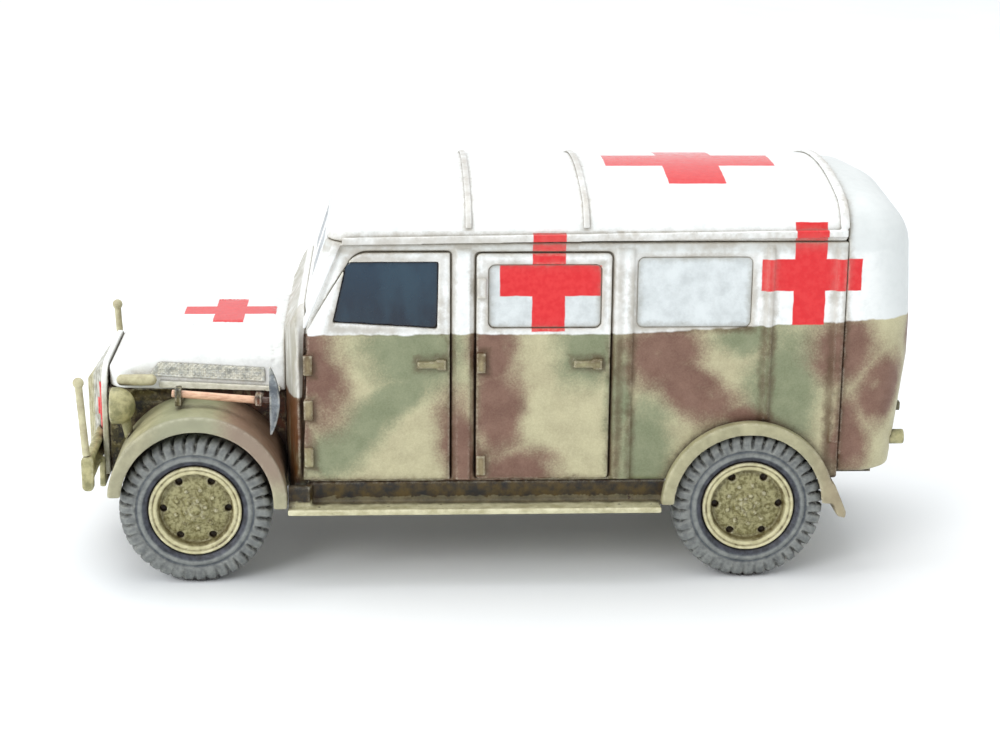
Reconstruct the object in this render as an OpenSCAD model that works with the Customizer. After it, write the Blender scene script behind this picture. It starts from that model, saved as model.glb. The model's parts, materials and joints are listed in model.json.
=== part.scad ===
// Scale model of a four-wheel-drive military ambulance truck, 1:56, in millimetres.
// +X is forward, +Y is the vehicle's left, +Z is up. The origin is on the ground,
// at the middle of the model's bounding box.

/* [Wheels and axles] */
// Distance between the front and rear axles
wheelbase = 58; // [57.5:0.1:58.5]
// X of the front axle
front_axle_x = 31; // [30.8:0.1:31.2]
// Radius of the tyre
tyre_r = 8; // [7.8:0.05:8.1]
// Width of the tyre
tyre_w = 4.4; // [3.8:0.1:4.4]
// Y of the tyre's outer face
tyre_face_y = 16.6; // [16.4:0.05:16.6]
// Radius of the rim's flange
rim_r = 4.9; // [4.7:0.05:5.1]
// Radius of the stub that a wheel turns on
stub_r = 0.8; // [0.6:0.05:0.9]
// Radial clearance of the wheel on its stub
stub_clearance = 0.05; // [0.02:0.01:0.1]

/* [Ambulance body] */
// Half the width of the body's side walls
body_hw = 15.9; // [15.7:0.05:16]
// Z of the body's underside
sill_z = 10.8; // [10.6:0.1:11]
// Z of the joint between walls and roof
roof_joint_z = 36.4; // [36.2:0.1:36.6]
// Z of the roof's crown
roof_z = 42; // [41.6:0.1:42.4]
// Radius of the roof's crown across the body
roof_crown_r = 50; // [45:1:70]
// X of the join between the body and its domed tail
tail_x = -36.3; // [-36.6:0.1:-36]
// X of the tail's rear face
tail_end_x = -43.7; // [-43.9:0.1:-43.5]
// Z of the domed tail's top
tail_z = 41.5; // [41.2:0.1:41.6]
// Radius of the roof's long edges
roof_edge_r = 4; // [3:0.1:4.5]
// How far the doors stand out of the side wall
door_proud = 0.15; // [0.1:0.05:0.2]
// Gap round each door
door_gap = 0.2; // [0.15:0.05:0.25]

/* [Cab front] */
// Lean of the windscreen from upright, in degrees
screen_lean = 18.3; // [17:0.1:19]
// X of the windscreen's foot
screen_foot_x = 19.3; // [19.2:0.1:19.4]
// Z of the windscreen's foot
screen_foot_z = 29.8; // [29.5:0.1:30]
// X of the cowl's front
cowl_x = 21.6; // [21.4:0.1:21.8]
// X of the bonnet's nose
bonnet_nose_x = 40.5; // [40.3:0.05:40.6]
// Z of the bonnet's top
bonnet_z = 25.4; // [25:0.1:26]
// Z of the bonnet's lower edge
bonnet_foot_z = 19.2; // [19.1:0.05:19.3]
// Half the width of the engine bay under the bonnet
bay_hw = 8.6; // [8.4:0.05:8.7]

/* [Mudguards and steps] */
// Y of the mudguards' outer lip
guard_y = 17.8; // [17.6:0.05:17.9]
// Y of the step plates' outer edge
step_y = 18; // [17.9:0.05:18.2]
// Z of the step plates' top
step_z = 8.5; // [8.3:0.05:8.7]
// Clearance of the tyre in its wheel arch
arch_clearance = 0.4; // [0.3:0.05:0.45]

/* [Hidden] */
$fn = 48;

rear_axle_x = front_axle_x - wheelbase;
axle_z = tyre_r;
joint_gap = 0.02;           // hairline between glued pieces
eps = 0.01;
long = 200;

// Colours of the painted pieces
c_white = [0.90, 0.90, 0.88];
c_sand = [0.66, 0.62, 0.42];
c_green = [0.42, 0.46, 0.33];
c_brown = [0.48, 0.33, 0.28];
c_dark = [0.12, 0.13, 0.16];
c_rubber = [0.20, 0.20, 0.22];
c_wood = [0.80, 0.60, 0.45];
c_steel = [0.45, 0.48, 0.50];

// ---------------------------------------------------------------- helpers

// Both sides of the vehicle
module both_sides() { children(); mirror([0, 1, 0]) children(); }

// One side of the vehicle: 1 is left, -1 is right
module on_side(side) { if (side > 0) children(); else mirror([0, 1, 0]) children(); }

// An outline drawn in X and Z, from y0 to y1
module across(y0, y1) { translate([0, y1, 0]) rotate([90, 0, 0]) linear_extrude(y1 - y0) children(); }

// An outline drawn in Y and Z, from x0 to x1
module along(x0, x1) { translate([x0, 0, 0]) rotate([90, 0, 90]) linear_extrude(x1 - x0) children(); }

// A box from one corner to the other
module block(low, high) { translate(low) cube(high - low); }

// A round bar between two points along Y
module bar_y(x, z, r, y0, y1) { translate([x, y0, z]) rotate([-90, 0, 0]) cylinder(r = r, h = y1 - y0); }

// A round bar along X
module bar_x(y, z, r, x0, x1) { translate([x0, y, z]) rotate([0, 90, 0]) cylinder(r = r, h = x1 - x0); }

// A round bar between any two points
module bar(a, b, r) {
    d = b - a;
    turn = atan2(d.y, d.x);
    tip = atan2(norm([d.x, d.y]), d.z);
    translate(a) rotate([0, tip, turn]) cylinder(r = r, h = norm(d));
}

// A rectangle with round corners, from one corner to the other
module round_rect(low, high, r) {
    translate([low.x + r, low.y]) square([high.x - low.x - 2 * r, high.y - low.y]);
    translate([low.x, low.y + r]) square([high.x - low.x, high.y - low.y - 2 * r]);
    for (x = [low.x + r, high.x - r], y = [low.y + r, high.y - r]) translate([x, y]) circle(r);
}

// Points on an arc about a centre, both ends included
function arc(centre, r, from, to, steps = 8) =
    [for (i = [0:steps]) let (a = from + (to - from) * i / steps) centre + r * [cos(a), sin(a)]];

// An arched section in Y and Z: upright sides, round shoulders and a shallow crown, all tangent
function arch(hw, top, crown_r, edge_r, foot) =
    let (
        crown_z = top - crown_r,
        edge_y = hw - edge_r,
        edge_z = crown_z + sqrt(pow(crown_r - edge_r, 2) - edge_y * edge_y),
        join = atan2(edge_z - crown_z, edge_y))
    concat([[hw, foot]], arc([edge_y, edge_z], edge_r, 0, join, 8),
        arc([0, crown_z], crown_r, join, 180 - join, 24),
        arc([-edge_y, edge_z], edge_r, 180 - join, 180, 8), [[-hw, foot]]);

// ---------------------------------------------------------------- cab and ambulance body

// X on the windscreen's plane at a height
function screen_x(z) = screen_foot_x - (z - screen_foot_z) * tan(screen_lean);

// Door outlines in X and Z, drawn in by an inset: [rear x, front x, bottom z, top z]
front_door = [4.3, 19.9, 11, 35.6];
side_door = [-12.25, 1.95, 11, 35.5];
tail_door = [0.15, 11.4, 13.2, 34.8];        // in Y and Z
door_corner_r = 1;
belt_z = 27;
cab_corner_r = 3;                            // upright corners beside the windscreen

// Windows in X and Z: [rear x, front x, bottom z, top z]
side_door_window = [-11.1, 0.6, 27.4, 34.2];
fixed_window = [-26.6, -14.7, 27.4, 34.9];
tail_window = [2.2, 9.4, 28.2, 33.6];        // in Y and Z
window_r = 0.7;
pane_depth = 0.35;
recess = 0.6;

module front_door_outline(inset) {
    low = front_door[2] + inset;
    top = front_door[3] - inset;
    rear = front_door[0] + inset;
    front = front_door[1] - inset;
    polygon(concat(
        [[rear, low], [front, low], [front - 0.7, belt_z + 0.4]],
        arc([screen_x(top) - 4.6, top - 2.4], 2.4, 25, 90),
        [[rear, top]]));
}

module front_window_outline(inset = 0) {
    polygon([[5.75 + inset, 27.4 + inset], [16.5 - inset, 28.1 + inset], [15.1 - inset, 34.1 - inset],
        [14.6 - inset, 34.5 - inset], [5.6 + inset, 34.5 - inset]]);
}

module panel_outline(p, inset, r) {
    round_rect([p[0] + inset, p[2] + inset], [p[1] - inset, p[3] - inset], r);
}

// The leaning shape that gives the cab its round front corners
module screen_prism() {
    translate([screen_foot_x, 0, screen_foot_z]) rotate([0, -screen_lean, 0])
        translate([0, 0, -60]) linear_extrude(120) round_rect([-long, -body_hw], [0, body_hw], cab_corner_r);
}

// Raised pillars between the doors and behind the fixed window: rear x, front x, how far proud, foot
pillars = [
    [2.45, 3.8, 0.25, 11.1],
    [-14.3, -12.6, 0.3, 11.1],
    [-28.7, -28.1, 0.25, 17.5],
    [-36.2, -35.3, 0.3, 15]];
pillar_top_z = 35.7;

module wheel_well(x, y0, r = tyre_r + arch_clearance) { bar_y(x, axle_z, r, y0, 40); }

// Solid walls from the sill to the roof, with recesses for doors and panes
module cabin_block() {
    color(c_sand) difference() {
        intersection() {
            union() {
                along(tail_x, screen_foot_x) round_rect([-body_hw, sill_z], [body_hw, 60], 0.8);
            }
            screen_prism();
            block([-60, -30, sill_z], [30, 30, roof_joint_z]);
        }
        both_sides() {
            across(body_hw - recess, 20) front_door_outline(0);
            across(body_hw - recess, 20) panel_outline(side_door, 0, 0.5);
            across(body_hw - recess, 20) panel_outline(fixed_window, 0, window_r);
            wheel_well(rear_axle_x, 11.3);
        }
        // seats for the windscreen's two panes
        screen_panes(0);
    }
    color(c_sand) both_sides() {
        for (p = pillars)
            block([p[0], body_hw - 0.2, p[3]], [p[1], body_hw + p[2], pillar_top_z]);
    }
}

// Windscreen panes lie in the leaning plane: [near y, far y, bottom, top] along the slope
screen_pane = [0.55, 11.2, 1.3, 6.2];
module screen_panes(fit) {
    translate([screen_foot_x, 0, screen_foot_z]) rotate([0, -screen_lean, 0]) both_sides()
        along(-pane_depth - 0.1 * (1 - fit), fit > 0 ? -0.12 : 1)
            round_rect([screen_pane[0] + fit * eps, screen_pane[2] + fit * eps],
                [screen_pane[1] - fit * eps, screen_pane[3] - fit * eps], 0.6);
}

module roof() {
    color(c_white) intersection() {
        along(tail_x, 30) polygon(arch(body_hw, roof_z, roof_crown_r, roof_edge_r, 20));
        block([-60, -30, roof_joint_z + joint_gap], [30, 30, 60]);
        screen_prism();
        // round front edge over the windscreen
        across(-20, 20) polygon(concat([[-50, 30], [screen_x(30), 30]],
            arc([screen_x(roof_z - 2.6) - 2.8, roof_z - 2.8], 2.8, 15, 90), [[-50, roof_z]]));
    }
}

// The domed tail: one smooth hull between the body's section and round rear corners
module tail_shape() {
    top_r = 5.4;
    low_r = 3.6;
    foot_z = 11.6;
    intersection() {
        hull() {
            along(tail_x - 1.2, tail_x - joint_gap)
                polygon(arch(body_hw, tail_z, roof_crown_r, roof_edge_r + 0.3, 20));
            along(tail_x - 1.2, tail_x - joint_gap) translate([-body_hw, 14]) square([2 * body_hw, 10]);
            along(tail_x - 1.2, tail_x - joint_gap)
                translate([-body_hw + 0.6, foot_z]) square([2 * body_hw - 1.2, 1]);
            translate([tail_end_x + top_r, 0, tail_z - top_r - 0.15]) sphere(top_r, $fn = 32);
            for (s = [-1, 1]) {
                translate([tail_end_x + top_r, s * (body_hw - top_r), tail_z - top_r - 1])
                    sphere(top_r, $fn = 32);
                translate([tail_end_x + low_r, s * (body_hw - low_r), 24])
                    cylinder(r = low_r, h = 4, $fn = 32);
                translate([tail_end_x + low_r + 1.3, s * (body_hw - low_r), foot_z + 0.4])
                    cylinder(r = low_r, h = 1, $fn = 32);
                translate([tail_end_x + low_r + 1.9, s * (body_hw - low_r), foot_z])
                    cylinder(r = low_r - 0.4, h = 0.1, $fn = 32);
            }
        }
        block([-60, -30, foot_z], [tail_x - joint_gap, 30, 60]);
    }
}

tail_seat_x = tail_end_x + 0.9;
lamp_y = 13;
lamp_z = 14.6;
tail_lamp_r = 0.8;
tail_lamp_x = tail_end_x + 1.9;
module tail_block() {
    color(c_sand) difference() {
        tail_shape();
        // flat seats for the two tail doors
        both_sides() block([-60, tail_door[0] - door_gap, tail_door[2] - door_gap],
            [tail_seat_x, tail_door[1] + door_gap, tail_door[3] + door_gap]);
        // sockets for the lamps
        both_sides() bar_x(lamp_y, lamp_z, tail_lamp_r + joint_gap, -60, tail_lamp_x + joint_gap);
    }
}

// A tail door with its window opening, hinges and handle
module tail_door_piece(side) {
    seat_x = tail_seat_x - joint_gap;
    color(c_sand) on_side(side) {
        difference() {
            intersection() {
                tail_shape();
                block([-60, tail_door[0], tail_door[2]], [seat_x, tail_door[1], tail_door[3]]);
            }
            along(-60, seat_x - 0.35) panel_outline(tail_window, 0, window_r);
        }
        // hinge knuckles at the outer edge: heights
        for (z = [17.4, 29.1])
            block([-prow_x, tail_door[1] - 1.3, z - 0.5], [tail_end_x + 0.8, tail_door[1] - 0.2, z + 0.5]);
        if (side > 0) block([-prow_x, 0.7, 22.6], [tail_end_x + 0.5, 3.2, 23.1]);
    }
}

// Rain gutters, pillar beads and the bands across the roof
gutter = [[15.4, 36.3], [tail_x + 0.2, 37]];
module roof_trim() {
    color(c_white) {
        both_sides() {
            across(body_hw + eps, body_hw + 0.6)
                polygon([gutter[0], gutter[0] + [0, 0.75], gutter[1] + [0, 0.75], gutter[1]]);
            // bead down the side of the windscreen
            across(body_hw + eps, body_hw + 0.35)
                polygon([[15.5, 36.35], [16.3, 36.6], [19.45, 28.6], [19.5, 27.6], [19.22, 27.6]]);
        }
        // bands over the roof: [x, half width, height of the band]
        for (b = [[2.6, 0.35, 0.25], [-9.4, 0.35, 0.25], [tail_x + 0.45, 0.45, 0.35]])
            along(b[0] - b[1], b[0] + b[1]) difference() {
                intersection() {
                    polygon(arch(body_hw + b[2], roof_z + b[2], roof_crown_r, roof_edge_r, 20));
                    translate([-30, 37.85]) square([60, 20]);
                }
                polygon(arch(body_hw + eps, roof_z + eps, roof_crown_r, roof_edge_r, 20));
            }
    }
}

// A side door with its window opening, hinges and handle
module door_fittings(hinge_x, handle_x, handle_z, hinge_zs) {
    face = body_hw + door_proud;
    for (z = hinge_zs)
        block([hinge_x - 0.45, face - 0.2, z - 1.05], [hinge_x + 0.45, face + 0.5, z + 1.05]);
    block([handle_x - 1.6, face - 0.2, handle_z - 0.4], [handle_x + 1.3, face + 0.55, handle_z + 0.3]);
    block([handle_x - 1.6, face - 0.2, handle_z - 0.6], [handle_x - 0.7, face + 0.6, handle_z + 0.5]);
}

module front_door_piece(side) {
    color(c_green) on_side(side) {
        difference() {
            across(body_hw - recess + joint_gap, body_hw + door_proud) front_door_outline(door_gap);
            across(0, 20) front_window_outline();
        }
        door_fittings(front_door[1] - 0.85, 6.5, 23.8, [23.7, 18.9, 13.8]);
    }
}

module side_door_piece(side) {
    color(c_sand) on_side(side) {
        difference() {
            across(body_hw - recess + joint_gap, body_hw + door_proud)
                panel_outline(side_door, door_gap, 0.5);
            across(0, 20) panel_outline(side_door_window, 0, window_r);
        }
        door_fittings(side_door[1] - 0.7, -9.6, 23.8, [31.8, 23.9, 12.8]);
    }
}

// Painted panes, set a little below the surface
module cab_windows() {
    color(c_dark) {
        both_sides() across(body_hw - recess + joint_gap, body_hw - 0.2) front_window_outline(0.02);
        screen_panes(1);
    }
}

module ward_windows() {
    color(c_white) both_sides() {
        for (w = [side_door_window, fixed_window])
            across(body_hw - recess + joint_gap, body_hw - 0.2) panel_outline(w, 0.02, window_r);
        along(tail_seat_x - 0.6, tail_seat_x - joint_gap - 0.37) panel_outline(tail_window, 0.02, window_r);
    }
}

// ---------------------------------------------------------------- nose

// Plan of one side of the cowl: a step for the door's edge, then in towards the bonnet
cowl_foot_z = 9.2;
door_edge_x = 19.95;
function cowl_side(s) = [
    [screen_foot_x + joint_gap, s * 15.25], [door_edge_x, s * 15.25], [door_edge_x, s * body_hw],
    [20.6, s * 15.3], [21.15, s * 13.6], [cowl_x, s * 10.6]];

// Scuttle between bonnet and cab: wide at the doors, narrow at the bonnet
module cowl() {
    color(c_white) intersection() {
        linear_extrude(60) polygon(concat(cowl_side(-1), [for (i = [5:-1:0]) cowl_side(1)[i]]));
        across(-20, 20) polygon([[19, cowl_foot_z], [22, cowl_foot_z], [22, 26.3], [21.3, 27],
            [19.9, screen_foot_z - 0.3], [19, screen_foot_z - 0.1]]);
        along(0, 30) round_rect([-body_hw, 9], [body_hw, 30], 4.2);
    }
}

bonnet_r = 3.4;
bonnet_rear_hw = 10.2;
bonnet_front_hw = 9.1;
bonnet_corner_r = 2.3;
// Where the flat top ends, the half width there, and how far the nose has rolled down at its roundest
brow_x = 34.6;
brow_hw = 9.35;
nose_drop = 2.6;

// The bonnet: flat-topped with round shoulders, and a nose that rolls down
module bonnet() {
    nose = bonnet_nose_x - bonnet_r;
    corner = bonnet_nose_x - bonnet_corner_r;
    color(c_white) intersection() {
        hull() both_sides() {
            bar_x(bonnet_rear_hw - bonnet_r, bonnet_z - bonnet_r, bonnet_r,
                cowl_x + joint_gap, cowl_x + 0.5, $fn = 40);
            block([cowl_x + joint_gap, 0, 18], [cowl_x + 0.5, bonnet_rear_hw, 20]);
            translate([brow_x, brow_hw - bonnet_r, bonnet_z - bonnet_r]) sphere(bonnet_r, $fn = 40);
            translate([nose, bonnet_front_hw - bonnet_r, bonnet_z - bonnet_r - nose_drop])
                sphere(bonnet_r, $fn = 40);
            translate([corner, bonnet_front_hw - bonnet_corner_r, 18])
                cylinder(r = bonnet_corner_r, h = 3.2, $fn = 32);
        }
        block([cowl_x + joint_gap, -20, bonnet_foot_z], [50, 20, 40]);
    }
}

// Turns to the plane of the bonnet's tapering side, measured from its rear corner
module bonnet_side() {
    taper = atan((bonnet_rear_hw - bonnet_front_hw) / (bonnet_nose_x - bonnet_corner_r - cowl_x));
    translate([cowl_x, bonnet_rear_hw, 0]) rotate([0, 0, -taper]) children();
}

// Framed side panel, sunk inside its rim, and the bead along the bonnet's lower edge
module louvre_panel_piece(side) {
    color(c_white) on_side(side) bonnet_side() {
        difference() {
            across(joint_gap + 0.03, 0.25) polygon(concat(
                [[2.2, 20.2], [2.2, 21.75]],
                arc([13.1, 21.65], 0.6, 85, 30, 4),
                [[14.3, 20.95], [13.9, 20.7]]));
            across(0.15, 1)
                polygon([[2.45, 20.42], [2.45, 21.55], [13, 21.45], [13.5, 21.25], [13.9, 20.95], [13.7, 20.88]]);
        }
        across(joint_gap + 0.03, 0.5)
            polygon([[0.6, 19.25], [0.6, 19.75], [13.4, 20.25], [13.4, 19.5]]);
    }
}

// Solid block that stands for engine and bay under the bonnet
module engine_bay() {
    color(c_green) difference() {
        block([cowl_x + joint_gap, -bay_hw, 9.2], [shell_x - joint_gap, bay_hw, bonnet_foot_z - joint_gap]);
        // room for the axle's middle
        block([front_axle_x - 2.4, -0.5, 9], [front_axle_x + 2.4, 3.7, 10.1]);
        // recess under the bonnet's edge, behind the lamp
        both_sides() block([32.5, bay_hw - 0.5, 17.7], [38, 20, 18.9]);
    }
}

shell_x = 40.6;
shell_front_x = 41.25;
shell_hw = 8.9;
shell_foot_z = 9.6;
shell_top_z = 21.6;
opening_hw = 8.1;

// Round-topped outline of the radiator shell, in Y and Z
module shell_outline(hw, foot, top, r) {
    intersection() {
        round_rect([-hw, foot - 2 * r], [hw, top], r);
        translate([-20, foot]) square([40, 40]);
    }
}

module radiator_shell() {
    color(c_white) along(shell_x, shell_front_x) difference() {
        shell_outline(shell_hw, shell_foot_z, shell_top_z, 3.4);
        shell_outline(opening_hw, 10.6, shell_top_z - 0.8, 2.7);
    }
}

// Pointed grille with upright slats; its prow stands forward and leans back at the top
prow_x = 43.85;                              // as far forward as the fittings reach aft
prow_root_x = 40.8;
grille_hw = opening_hw - 0.05;
slats = 9;
function prow_plan(grow) = [
    [shell_x + joint_gap, -grille_hw - grow], [prow_root_x, -grille_hw - grow], [prow_x + grow, -0.3],
    [prow_x + grow, 0.3], [prow_root_x, grille_hw + grow], [shell_x + joint_gap, grille_hw + grow]];
module radiator_grille() {
    color(c_steel) difference() {
        intersection() {
            linear_extrude(60) polygon(prow_plan(0));
            across(-20, 20) polygon([[39, 10.65], [41.27, 10.65], [42.4, 9.9], [prow_x + 1, 10.4],
                [prow_x + 1, 17], [prow_x, 17.8], [41.7, 20.6], [41.2, 21.2], [39, 21.2]]);
            along(39, 50) shell_outline(grille_hw, 9.8, shell_top_z - 0.85, 2.65);
        }
        // slots between the slats
        for (s = [-1, 1], i = [0:slats - 1]) {
            y = 0.75 + i * (grille_hw - 1.1) / slats;
            front = prow_x - (y / grille_hw) * (prow_x - prow_root_x);
            block([front - 0.6, s > 0 ? y : -y - 0.38, 11.4], [50, s > 0 ? y + 0.38 : -y, 50]);
        }
    }
}

// ---------------------------------------------------------------- mudguards, steps

front_guard_c = [30.65, 9.3];
front_guard_r = 9.3;
front_lip_c = [30.7, 9.05];
front_lip_r = 7.9;
guard_lip_w = 0.75;

module front_mudguard_piece(side) {
    c = front_guard_c;
    color(c_sand) on_side(side) difference() {
        intersection() {
            bar_y(c.x, c.y, front_guard_r, bay_hw + joint_gap, guard_y);
            union() {
                block([20, 11.2, 9.9], [50, 30, 30]);
                block([20, 11.2, step_z + joint_gap], [25, 30, 30]);
                block([cowl_x + 0.1, 0, 10.6], [50, 30, 30]);
            }
        }
        intersection() {
            wheel_well(front_axle_x, 11.3);
            block([0, 0, -5], [60, guard_y - guard_lip_w, 40]);
        }
        bar_y(front_lip_c.x, front_lip_c.y, front_lip_r, 11.3, 30);
        block([15, 15.2, -5], [front_axle_x, 30, step_z + joint_gap]);
        // round nose of the guard, inboard of the tyre
        block([36, 0, 0], [50, 10, 14]);
        // room for the cowl's corner
        block([10, 0, 0], [20.95, 16, 40]);
        block([10, 0, 0], [cowl_x + 0.05, 15.35, 40]);
    }
}

rear_guard_c = [-26.8, 8.4];
rear_guard_r = 9.15;
rear_lip_r = 7.75;
module rear_mudguard_piece(side) {
    c = rear_guard_c;
    color(c_sand) on_side(side) {
        difference() {
            bar_y(c.x, c.y, rear_guard_r, body_hw + 0.27, guard_y - 0.3);
            block([-60, 0, -5], [0, 30, step_z + joint_gap]);
            intersection() {
                wheel_well(rear_axle_x, 0, tyre_r + arch_clearance - 0.05);
                block([-60, 0, -5], [60, guard_y - 0.3 - guard_lip_w + 0.3, 40]);
            }
            bar_y(c.x, c.y, rear_lip_r, 0, 30);
        }
        // splash flap that hangs from the guard's rear end
        across(12.2, guard_y - 0.3)
            polygon([[-35.3, 10.75], [-36.25, 7.2], [-37.2, 6.9], [-37.3, 7.6], [-35.95, 10.75]]);
    }
}

module running_board_piece(side) {
    rear_x = -17.65;
    front_x = 21.3;
    color(c_sand) on_side(side) {
        block([rear_x, 14.9, step_z - 0.6], [front_x, step_y, step_z]);
        block([rear_x - 0.6, 14.4, step_z - 0.6], [front_x - 2.2, 15.35, sill_z - joint_gap]);
        // riser beside the cowl
        block([front_x - 2.3, body_hw + 0.05, step_z - 0.6], [front_x, body_hw + 0.7, sill_z - 0.1]);
        // upturned bead along the outer edge
        block([rear_x, step_y - 0.25, step_z - 0.6], [front_x, step_y, step_z + 0.08]);
    }
}

// ---------------------------------------------------------------- lamps, horns, bumper, poles

lamp = [39.85, 12.1, 18.25];      // centre of the left lens
lamp_r = 1.95;
module headlamp_piece(side) {
    color(c_sand) on_side(side) {
        translate(lamp) rotate([0, -90, 0]) rotate_extrude()
            polygon(concat([[0, 0], [lamp_r - 0.25, 0], [lamp_r, 0.15], [lamp_r, 0.7]],
                [for (a = [10:10:90]) [lamp_r * cos(a), 0.7 + 1.9 * sin(a)]]));
        // bracket down to the mudguard
        difference() {
            bar([lamp.x - 1.4, lamp.y, lamp.z - 1], [lamp.x - 1.9, lamp.y, 14.8], 0.55);
            bar_y(front_guard_c.x, front_guard_c.y, front_guard_r + joint_gap, 0, 30);
        }
    }
}

horn_y = 10.75;
horn_r = 0.62;
module horn_piece(side) {
    color(c_sand) on_side(side) translate([0, horn_y, 20.65]) {
        bar_x(0, 0, horn_r, 35.7, 38.7);
        for (x = [35.7, 38.7]) translate([x, 0, 0]) sphere(horn_r);
        // foot on the bonnet's side
        block([36.6, 9.25 - horn_y, -0.3], [37.6, 0, 0.1]);
    }
}

bumper_x = 42.1;
bumper_hw = 16.3;
iron_x = 41.6;

// Channel bumper that the grille's prow passes through, with tall end caps and irons to the frame
module front_bumper() {
    color(c_sand) {
        difference() {
            across(-bumper_hw, bumper_hw) round_rect([bumper_x - 0.8, 11.3], [bumper_x + 0.3, 13.9], 0.4);
            block([bumper_x - 2, -15.4, 11.9], [bumper_x - 0.35, 15.4, 13.3]);
            translate([0, 0, 5]) linear_extrude(20) polygon(prow_plan(0.08));
        }
        both_sides() {
            across(15.3, bumper_hw) round_rect([bumper_x - 0.75, 10.2], [bumper_x + 0.5, 13.95], 0.55);
            block([40.95, 9.3, 8.6], [iron_x, 10.2, 11.8]);
        }
        block([40.95, -10.2, 8.6], [iron_x, 10.2, 9.18]);
    }
}

module width_pole_piece(side) {
    color(c_sand) on_side(side) {
        bar([bumper_x - 0.05, 15.8, 13.97], [bumper_x + 0.35, 16.2, 21.7], 0.4);
        translate([bumper_x + 0.35, 16.2, 21.95]) sphere(0.6);
    }
}

// ---------------------------------------------------------------- pickaxe on the left mudguard

pick_y = 14.35;
pick_back_x = 22.05;
pick_z = 19.35;

// Crescent head, tips forward, outside the handle
module pickaxe_head() {
    back_r = 7.8;
    front_x = 23.15;
    color(c_steel) across(pick_y - 0.33, pick_y + 0.33) intersection() {
        translate([pick_back_x + back_r, pick_z]) circle(back_r, $fn = 96);
        translate([pick_back_x - 1, pick_z - 3.65]) square([front_x - pick_back_x + 1, 7.3]);
    }
}

handle_y = 13.55;
handle_r = 0.42;
handle_rear = [22.5, handle_y, 19.05];
handle_front = [33.3, handle_y, 20];
module pickaxe_handle() {
    color(c_wood) bar(handle_rear, handle_front, handle_r);
}

// Height of the handle's middle at a given X
handle_slope = (handle_front.z - handle_rear.z) / (handle_front.x - handle_rear.x);
function handle_z(x) = handle_rear.z + (x - handle_rear.x) * handle_slope;

// Brackets from the engine bay that wrap the handle
module tool_clips() {
    color(c_sand) for (x = [24.3, 32.6]) difference() {
        union() {
            block([x - 0.35, bay_hw + joint_gap, 18.75], [x + 0.35, handle_y + 0.75, 19.15]);
            block([x - 0.35, handle_y - 0.75, 18.75], [x + 0.35, handle_y + 0.75, handle_z(x) + 0.75]);
        }
        bar(handle_rear - (handle_front - handle_rear), handle_front, handle_r + joint_gap);
    }
}

// ---------------------------------------------------------------- chassis

module frame_rail_piece(side) {
    color(c_sand) on_side(side) {
        difference() {
            union() {
                block([-42, 5.6, 8.6], [40.9, 7.1, 9.18]);
                block([-42, 5.6, 8.6], [cowl_x - 2.4, 7.1, sill_z - joint_gap]);
            }
            // notches over the axles
            for (x = [front_axle_x, rear_axle_x]) block([x - 1.2, 5, 8], [x + 1.2, 8, 8.9]);
        }
    }
}

module cross_members() {
    color(c_sand) {
        for (x = [-40, -16, -7, 8]) block([x - 0.6, -5.58, 8.9], [x + 0.6, 5.58, 10.6]);
        block([39.6, -5.58, 8.3], [40.8, 5.58, 9.18]);
    }
}

// An axle casting: beam, swivel ends, brake drums and the stubs that carry the wheels
stub_end_y = tyre_face_y - 1.1;
hub_back_y = 13.2;
drum_r = 3.7;
module axle_piece(x, side_y) {
    bar_y(x, axle_z, 0.85, -11.9, 11.9);
    both_sides() {
        bar_y(x, axle_z, 1.35, 10.6, hub_back_y - 0.25);
        bar_y(x, axle_z, drum_r, 12.1, hub_back_y - 0.1);
        bar_y(x, axle_z, stub_r, 10, stub_end_y);
    }
    translate([x, side_y, axle_z]) sphere(1.95);
    bar_x(side_y, axle_z, 0.9, x - 2.3, x + 2.3);
}

module front_axle() { color(c_sand) axle_piece(front_axle_x, 1.6); }
module rear_axle() { color(c_sand) axle_piece(rear_axle_x, 0); }

// Leaf springs: a bowed pack under each rail, with its centre on the axle
spring_half = 6.2;
module spring_piece(x, side) {
    color(c_sand) on_side(side) across(7.12, 8.3) translate([x, 0]) polygon([
        [-spring_half, 8.55], [-spring_half, 7.95], [-2.2, 6.7], [2.2, 6.7],
        [spring_half, 7.95], [spring_half, 8.55], [2.2, 7.15], [-2.2, 7.15]]);
}

module gearbox() {
    color(c_green) {
        block([15.2, -2.6, 6.6], [19.25, 2.6, 10.7]);
        block([19.25, -3.4, 6.1], [27.6, 3.4, 9.15]);
    }
}

module transfer_case() {
    color(c_green) {
        block([-3.6, -3, 6.3], [3, 3, 10.75]);
        bar_x(0, 8, 1.2, -4, 3.4);
    }
}

module propeller_shafts() {
    color(c_steel) {
        bar_x(0, 8, 0.5, 3.42, 15.18);
        bar_x(0, 8, 0.5, rear_axle_x + 2.32, -4.02);
    }
}

exhaust_y = -9.6;
exhaust_z = 8.1;
module exhaust() {
    r = 0.4;
    color(c_brown) {
        bar_x(exhaust_y, exhaust_z, 1, -14, -5);
        bar_x(exhaust_y, exhaust_z, r, -5.2, 16);
        bar([16, exhaust_y, exhaust_z], [16, -2.62, exhaust_z], r);
        bar([-13.9, exhaust_y, exhaust_z], [-16.4, exhaust_y - 3, exhaust_z], r);
    }
}

module tail_lamp_piece(side) {
    color(c_sand) on_side(side) bar_x(lamp_y, lamp_z, tail_lamp_r, -prow_x, tail_lamp_x);
}

// ---------------------------------------------------------------- wheels

// Wheel parts are drawn spinning about Y, centred on the axle, outer face towards +Y.
module at_wheel(x, side) { translate([x, 0, axle_z]) on_side(side) children(); }
module spun(y) { translate([0, y, 0]) rotate([-90, 0, 0]) rotate_extrude($fn = 64) children(); }

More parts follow.
